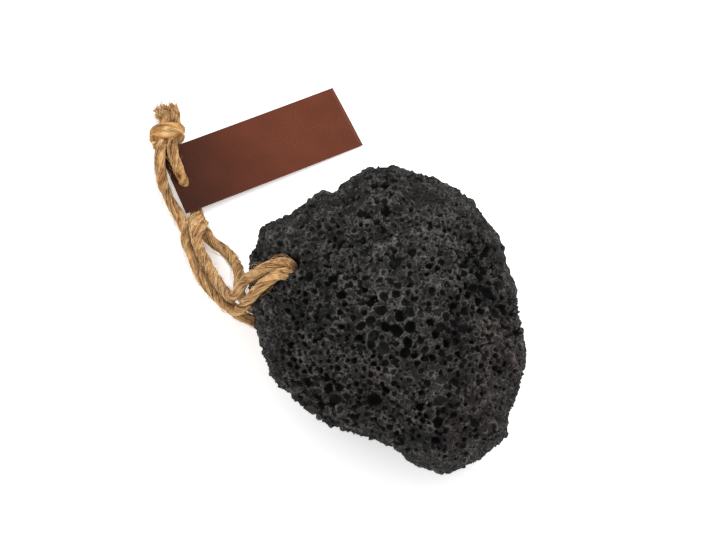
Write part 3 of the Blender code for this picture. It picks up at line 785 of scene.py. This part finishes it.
sunk, brim, painted_pit_shade = sink_bubbles()
crumble = sum(a * MM * value_noise(base, s * MM, seed) for a, s, seed in (
    (0.35, 7.0, 90), (0.55, 3.6, 91), (0.45, 2.0, 92), (0.46, 1.1, 93), (0.15, 0.6, 94)))
lip = LIP_HEIGHT * np.exp(-((brim + LIP_WIDTH) / LIP_WIDTH) ** 2) * (brim < 0)
outward = 0.15 * MM + crumble + lip - sunk
stone_points = base + base_normal * outward[:, None]

distance, along, out, axis = from_hole(stone_points)
inside = distance < HOLE_RADIUS
share = distance / HOLE_RADIUS
WELL_FLOOR = 0.35
WELL_DEPTH = 13.5 * MM
middle_along = 0.5 * np.linalg.norm(HOLE_TOP - HOLE_FOOT)
fall = np.clip((1 - share) / (1 - WELL_FLOOR), 0, 1) * WELL_DEPTH
wall = np.where(share > WELL_FLOOR, 0.93 + 0.07 * (share - WELL_FLOOR) / (1 - WELL_FLOOR), 0.93 * share / WELL_FLOOR)
into = np.where(along > middle_along, along - fall, along + fall)
well = HOLE_FOOT + into[:, None] * axis + out * (wall * HOLE_RADIUS)[:, None]
stone_points = np.where(inside[:, None], well, stone_points)
stone_points[:, 2] = np.maximum(stone_points[:, 2], 0.0)
# Painted shade: the drilled hole's walls are painted fully shaded.
painted_pit_shade[inside] = 1.0
brim[inside] = BRIM_REACH
print("stone box, mm:", np.round(np.ptp(stone_points, axis=0) / MM, 1))


# %% [markdown]
# Basalt froth is nearly black, matt and glassy only in grains. Open walls are lighter grey, partly for dust and partly
# as a painted highlight; the bubbles' floors carry painted shade going to black, and iron rusts it reddish in patches.

# %% Vesicular lava
RUST_PATCHES = [(29.0, -6.0, 9.0, 0.6), (22.0, -20.0, 9.0, 0.5), (26.0, 22.0, 6.0, 0.3), (-14.0, -24.0, 8.0, 0.4),
                (-3.0, -14.0, 4.0, 0.4), (14.0, -2.0, 4.0, 0.3), (19.0, -30.0, 6.0, 0.4)]
# Painted light on the stone's crowns, a little lighter: place on the ring's plane, radius and strength.
PAINTED_LIGHT_PATCHES = [(3.0, 11.0, 12.0, 1.0), (-1.0, -8.0, 8.0, 0.8)]


def make_lava():
    material, tree, shader = new_finish("vesicular_lava", 0.86)
    where = add_node(tree, "ShaderNodeTexCoord").outputs["Object"]
    brim = add_node(tree, "ShaderNodeAttribute", attribute_name="brim").outputs["Fac"]
    painted_pit_shade = add_node(tree, "ShaderNodeAttribute", attribute_name="painted_pit_shade").outputs["Fac"]
    rust = add_node(tree, "ShaderNodeAttribute", attribute_name="rust").outputs["Fac"]
    painted_light = add_node(tree, "ShaderNodeAttribute", attribute_name="painted_light").outputs["Fac"]
    cloud = add_node(tree, "ShaderNodeTexNoise", {
        "Vector": where, "Scale": 330.0, "Detail": 6.0, "Roughness": 0.7}).outputs["Fac"]
    # The small cells are bent out of round by half a millimetre, so that no pattern shows.
    sway = add_node(tree, "ShaderNodeTexNoise", {"Vector": where, "Scale": 450.0, "Detail": 1.0}).outputs["Color"]
    bent = add_node(tree, "ShaderNodeVectorMath", {0: sway, 1: (0.001, 0.001, 0.001), 2: where},
                    operation="MULTIPLY_ADD").outputs[0]
    # Cells of 1.1 mm with thin lighter walls, each with its own tone, and pores of 0.6 mm with lighter ribs; the
    # lighter walls and ribs are partly dust and partly painted highlight.
    near = add_node(tree, "ShaderNodeTexVoronoi", {"Vector": bent, "Scale": 900.0}, feature="DISTANCE_TO_EDGE")
    walls = add_node(tree, "ShaderNodeMapRange", {
        "Value": near.outputs["Distance"], "From Min": 0.0, "From Max": 0.10, "To Min": 1.0, "To Max": 0.0}).outputs[0]
    cell = add_node(tree, "ShaderNodeTexVoronoi", {"Vector": bent, "Scale": 900.0}).outputs["Color"]
    pores = add_node(tree, "ShaderNodeTexVoronoi", {"Vector": bent, "Scale": 1700.0}, feature="DISTANCE_TO_EDGE")
    ribs = add_node(tree, "ShaderNodeMapRange", {
        "Value": pores.outputs["Distance"], "From Min": 0.0, "From Max": 0.28, "To Min": 1.0, "To Max": 0.0}).outputs[0]
    # Broken faces 7 mm across lie a little lighter or darker than their neighbours.
    faces = add_node(tree, "ShaderNodeTexNoise", {"Vector": where, "Scale": 140.0, "Detail": 2.0}).outputs["Fac"]
    face_tone = add_node(tree, "ShaderNodeMapRange", {
        "Value": faces, "From Min": 0.3, "From Max": 0.7, "To Min": -0.18, "To Max": 0.10}).outputs[0]
    broad = add_node(tree, "ShaderNodeMath", {0: face_tone, 1: cloud}, operation="ADD").outputs[0]
    # The brim, in millimetres, gives a bubble a sharp floor of painted shade, going to black, and a lighter rim a
    # quarter of a millimetre wide, partly dust and partly a painted highlight.
    crumbs = add_node(tree, "ShaderNodeTexNoise", {"Vector": where, "Scale": 1300.0, "Detail": 2.0}).outputs["Fac"]
    ragged = add_node(tree, "ShaderNodeMath", {0: crumbs, 1: 0.7, 2: brim}, operation="MULTIPLY_ADD").outputs[0]
    brim = add_node(tree, "ShaderNodeMath", {0: ragged, 1: 0.35}, operation="SUBTRACT").outputs[0]
    floor = add_node(tree, "ShaderNodeMapRange", {"Value": brim, "From Min": 0.0, "From Max": 0.3}).outputs[0]
    # Painted shade on each bubble's floor, stronger the deeper the bubble.
    deep = add_node(tree, "ShaderNodeMath", {0: floor, 1: painted_pit_shade}, operation="MULTIPLY").outputs[0]
    rise = add_node(tree, "ShaderNodeMapRange", {"Value": brim, "From Min": -0.3, "From Max": -0.03}).outputs[0]
    rim = add_node(tree, "ShaderNodeMath", {0: rise, 1: floor}, operation="SUBTRACT").outputs[0]
    # Pits too small for the mesh: each 1.4 mm cell has one of its own radius, from 0.15 to 0.55 mm, darkened as painted
    # shade and sunk by the bump.
    spot = add_node(tree, "ShaderNodeTexVoronoi", {"Vector": bent, "Scale": 700.0})
    size = add_node(tree, "ShaderNodeMath", {0: spot.outputs["Color"], 1: 0.45}, operation="MULTIPLY")
    within = add_node(tree, "ShaderNodeMath", {0: size.outputs[0], 1: spot.outputs["Distance"]}, operation="SUBTRACT")
    pits = add_node(tree, "ShaderNodeMapRange", {
        "Value": within.outputs[0], "From Min": 0.0, "From Max": 0.07}).outputs[0]
    # Partly dust and partly painted highlight: the rim lifts the tone.
    tone = add_node(tree, "ShaderNodeMath", {0: rim, 1: 0.26, 2: broad}, operation="MULTIPLY_ADD").outputs[0]
    # Painted light: the crowns are lifted a tenth in tone.
    tone = add_node(tree, "ShaderNodeMath", {0: painted_light, 1: 0.10, 2: tone}, operation="MULTIPLY_ADD").outputs[0]
    tone = add_node(tree, "ShaderNodeMath", {0: pits, 1: -0.25, 2: tone}, operation="MULTIPLY_ADD").outputs[0]
    tone = add_node(tree, "ShaderNodeMath", {0: walls, 1: 0.13, 2: tone}, operation="MULTIPLY_ADD").outputs[0]
    tone = add_node(tree, "ShaderNodeMath", {0: cell, 1: -0.18, 2: tone}, operation="MULTIPLY_ADD").outputs[0]
    tone = add_node(tree, "ShaderNodeMath", {0: ribs, 1: 0.12, 2: tone}, operation="MULTIPLY_ADD").outputs[0]
    tone = add_node(tree, "ShaderNodeMath", {0: deep, 1: -0.62, 2: tone}, operation="MULTIPLY_ADD").outputs[0]
    rock = add_node(tree, "ShaderNodeValToRGB", {"Fac": tone}, stops=[
        (0.0, "#030303"), (0.32, "#161515"), (0.62, "#302f2d"), (1.0, "#72706c")])
    red = add_node(tree, "ShaderNodeValToRGB", {"Fac": tone}, stops=[
        (0.0, "#070505"), (0.32, "#201a19"), (0.62, "#393030"), (1.0, "#756862")])
    patch = add_node(tree, "ShaderNodeMix", {0: rust, 6: rock.outputs["Color"], 7: red.outputs["Color"]},
                     data_type="RGBA")
    # Pale feldspar grains, about a third of a millimetre, one every few millimetres.
    grit = add_node(tree, "ShaderNodeTexVoronoi", {"Vector": where, "Scale": 420.0}).outputs["Distance"]
    crystal = add_node(tree, "ShaderNodeMapRange", {
        "Value": grit, "From Min": 0.04, "From Max": 0.09, "To Min": 0.55, "To Max": 0.0}).outputs[0]
    speck = add_node(tree, "ShaderNodeMix", {0: crystal, 6: patch.outputs[2], 7: linear("#8f8d87")}, data_type="RGBA")
    fine = add_node(tree, "ShaderNodeTexNoise", {"Vector": where, "Scale": 2600.0, "Detail": 3.0}).outputs["Fac"]
    grain = add_node(tree, "ShaderNodeBump", {"Height": fine, "Strength": 0.6, "Distance": 0.00025})
    rough = add_node(tree, "ShaderNodeBump", {
        "Height": ribs, "Strength": 0.6, "Distance": 0.0003, "Normal": grain.outputs["Normal"]})
    bump = add_node(tree, "ShaderNodeBump", {
        "Height": walls, "Strength": 0.6, "Distance": 0.0004, "Normal": rough.outputs["Normal"]})
    bump = add_node(tree, "ShaderNodeBump", {
        "Height": pits, "Strength": 0.8, "Distance": 0.0005, "Normal": bump.outputs["Normal"]}, invert=True)
    tree.links.new(speck.outputs[2], shader.inputs["Base Color"])
    tree.links.new(bump.outputs["Normal"], shader.inputs["Normal"])
    shader.inputs["Specular IOR Level"].default_value = 0.15
    return material


rust = sum(h * np.exp(-((ring_u - x * MM) ** 2 + (ring_v - y * MM) ** 2) / (r * MM) ** 2) for x, y, r, h in RUST_PATCHES)
rust = np.clip(rust * (0.8 + 0.8 * value_noise(base, 4 * MM, 97)), 0, 1)
painted_light = sum(h * np.exp(-((ring_u - x * MM) ** 2 + (ring_v - y * MM) ** 2) / (r * MM) ** 2) for x, y, r, h in PAINTED_LIGHT_PATCHES)
stone = new_piece("lava_stone", stone_points, [stone_faces], make_lava(),
                  {"brim": brim / MM, "painted_pit_shade": painted_pit_shade, "rust": rust, "painted_light": painted_light})


# %% [markdown]
# Now each piece is set on the body it rides on, and the imported nodes that the pieces stand for are hidden.

# %% Pieces and the frame
for piece, slot in ((stone, "lava_stone"), (jute_loop, "jute"), (jute_fibres, "jute"),
                    (jute_knot, "jute"), (card_tag, "brown_card")):
    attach(piece, "root")
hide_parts("pumice_stone")
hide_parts("jute_twine")
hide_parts("twine_knot")
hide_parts("card_tag")


# %% [markdown]
# A plain white floor and soft light: one large lamp from the right and behind, a weak one from the
# left, and an even white surround.

# %% Floor and light
FLOOR_HALF = 6.0
FLOOR_HEIGHT = -0.02 * MM
FLOOR_GLOW = 0.4

floor_data = bpy.data.meshes.new("floor")
corners = [(x * FLOOR_HALF, y * FLOOR_HALF, FLOOR_HEIGHT) for x, y in ((-1, -1), (1, -1), (1, 1), (-1, 1))]
floor_data.from_pydata(corners, [], [(0, 1, 2, 3)])
floor = bpy.data.objects.new("floor", floor_data)
bpy.context.scene.collection.objects.link(floor)
floor_finish, floor_tree, floor_shader = new_finish("white_sweep", 0.9)
floor_shader.inputs["Base Color"].default_value = linear("#ffffff")
floor_shader.inputs["Emission Color"].default_value = linear("#ffffff")
floor_shader.inputs["Emission Strength"].default_value = FLOOR_GLOW
floor_data.materials.append(floor_finish)


def soft_lamp(name, place, size, power):
    data = bpy.data.lights.new(name, "AREA")
    data.size = size
    data.energy = power
    lamp = bpy.data.objects.new(name, data)
    lamp.location = place
    lamp.rotation_euler = (-Vector(place)).to_track_quat("-Z", "Y").to_euler()
    bpy.context.scene.collection.objects.link(lamp)


soft_lamp("key", (0.50, 0.30, 0.95), 0.9, 6.5)
soft_lamp("fill", (-0.6, -0.4, 0.8), 1.2, 2.2)
world = bpy.data.worlds.new("surround")
world.use_nodes = True
world.node_tree.nodes["Background"].inputs["Color"].default_value = (1.0, 1.0, 1.0, 1.0)
world.node_tree.nodes["Background"].inputs["Strength"].default_value = 0.95
bpy.context.scene.world = world
bpy.context.scene.view_settings.view_transform = "Standard"
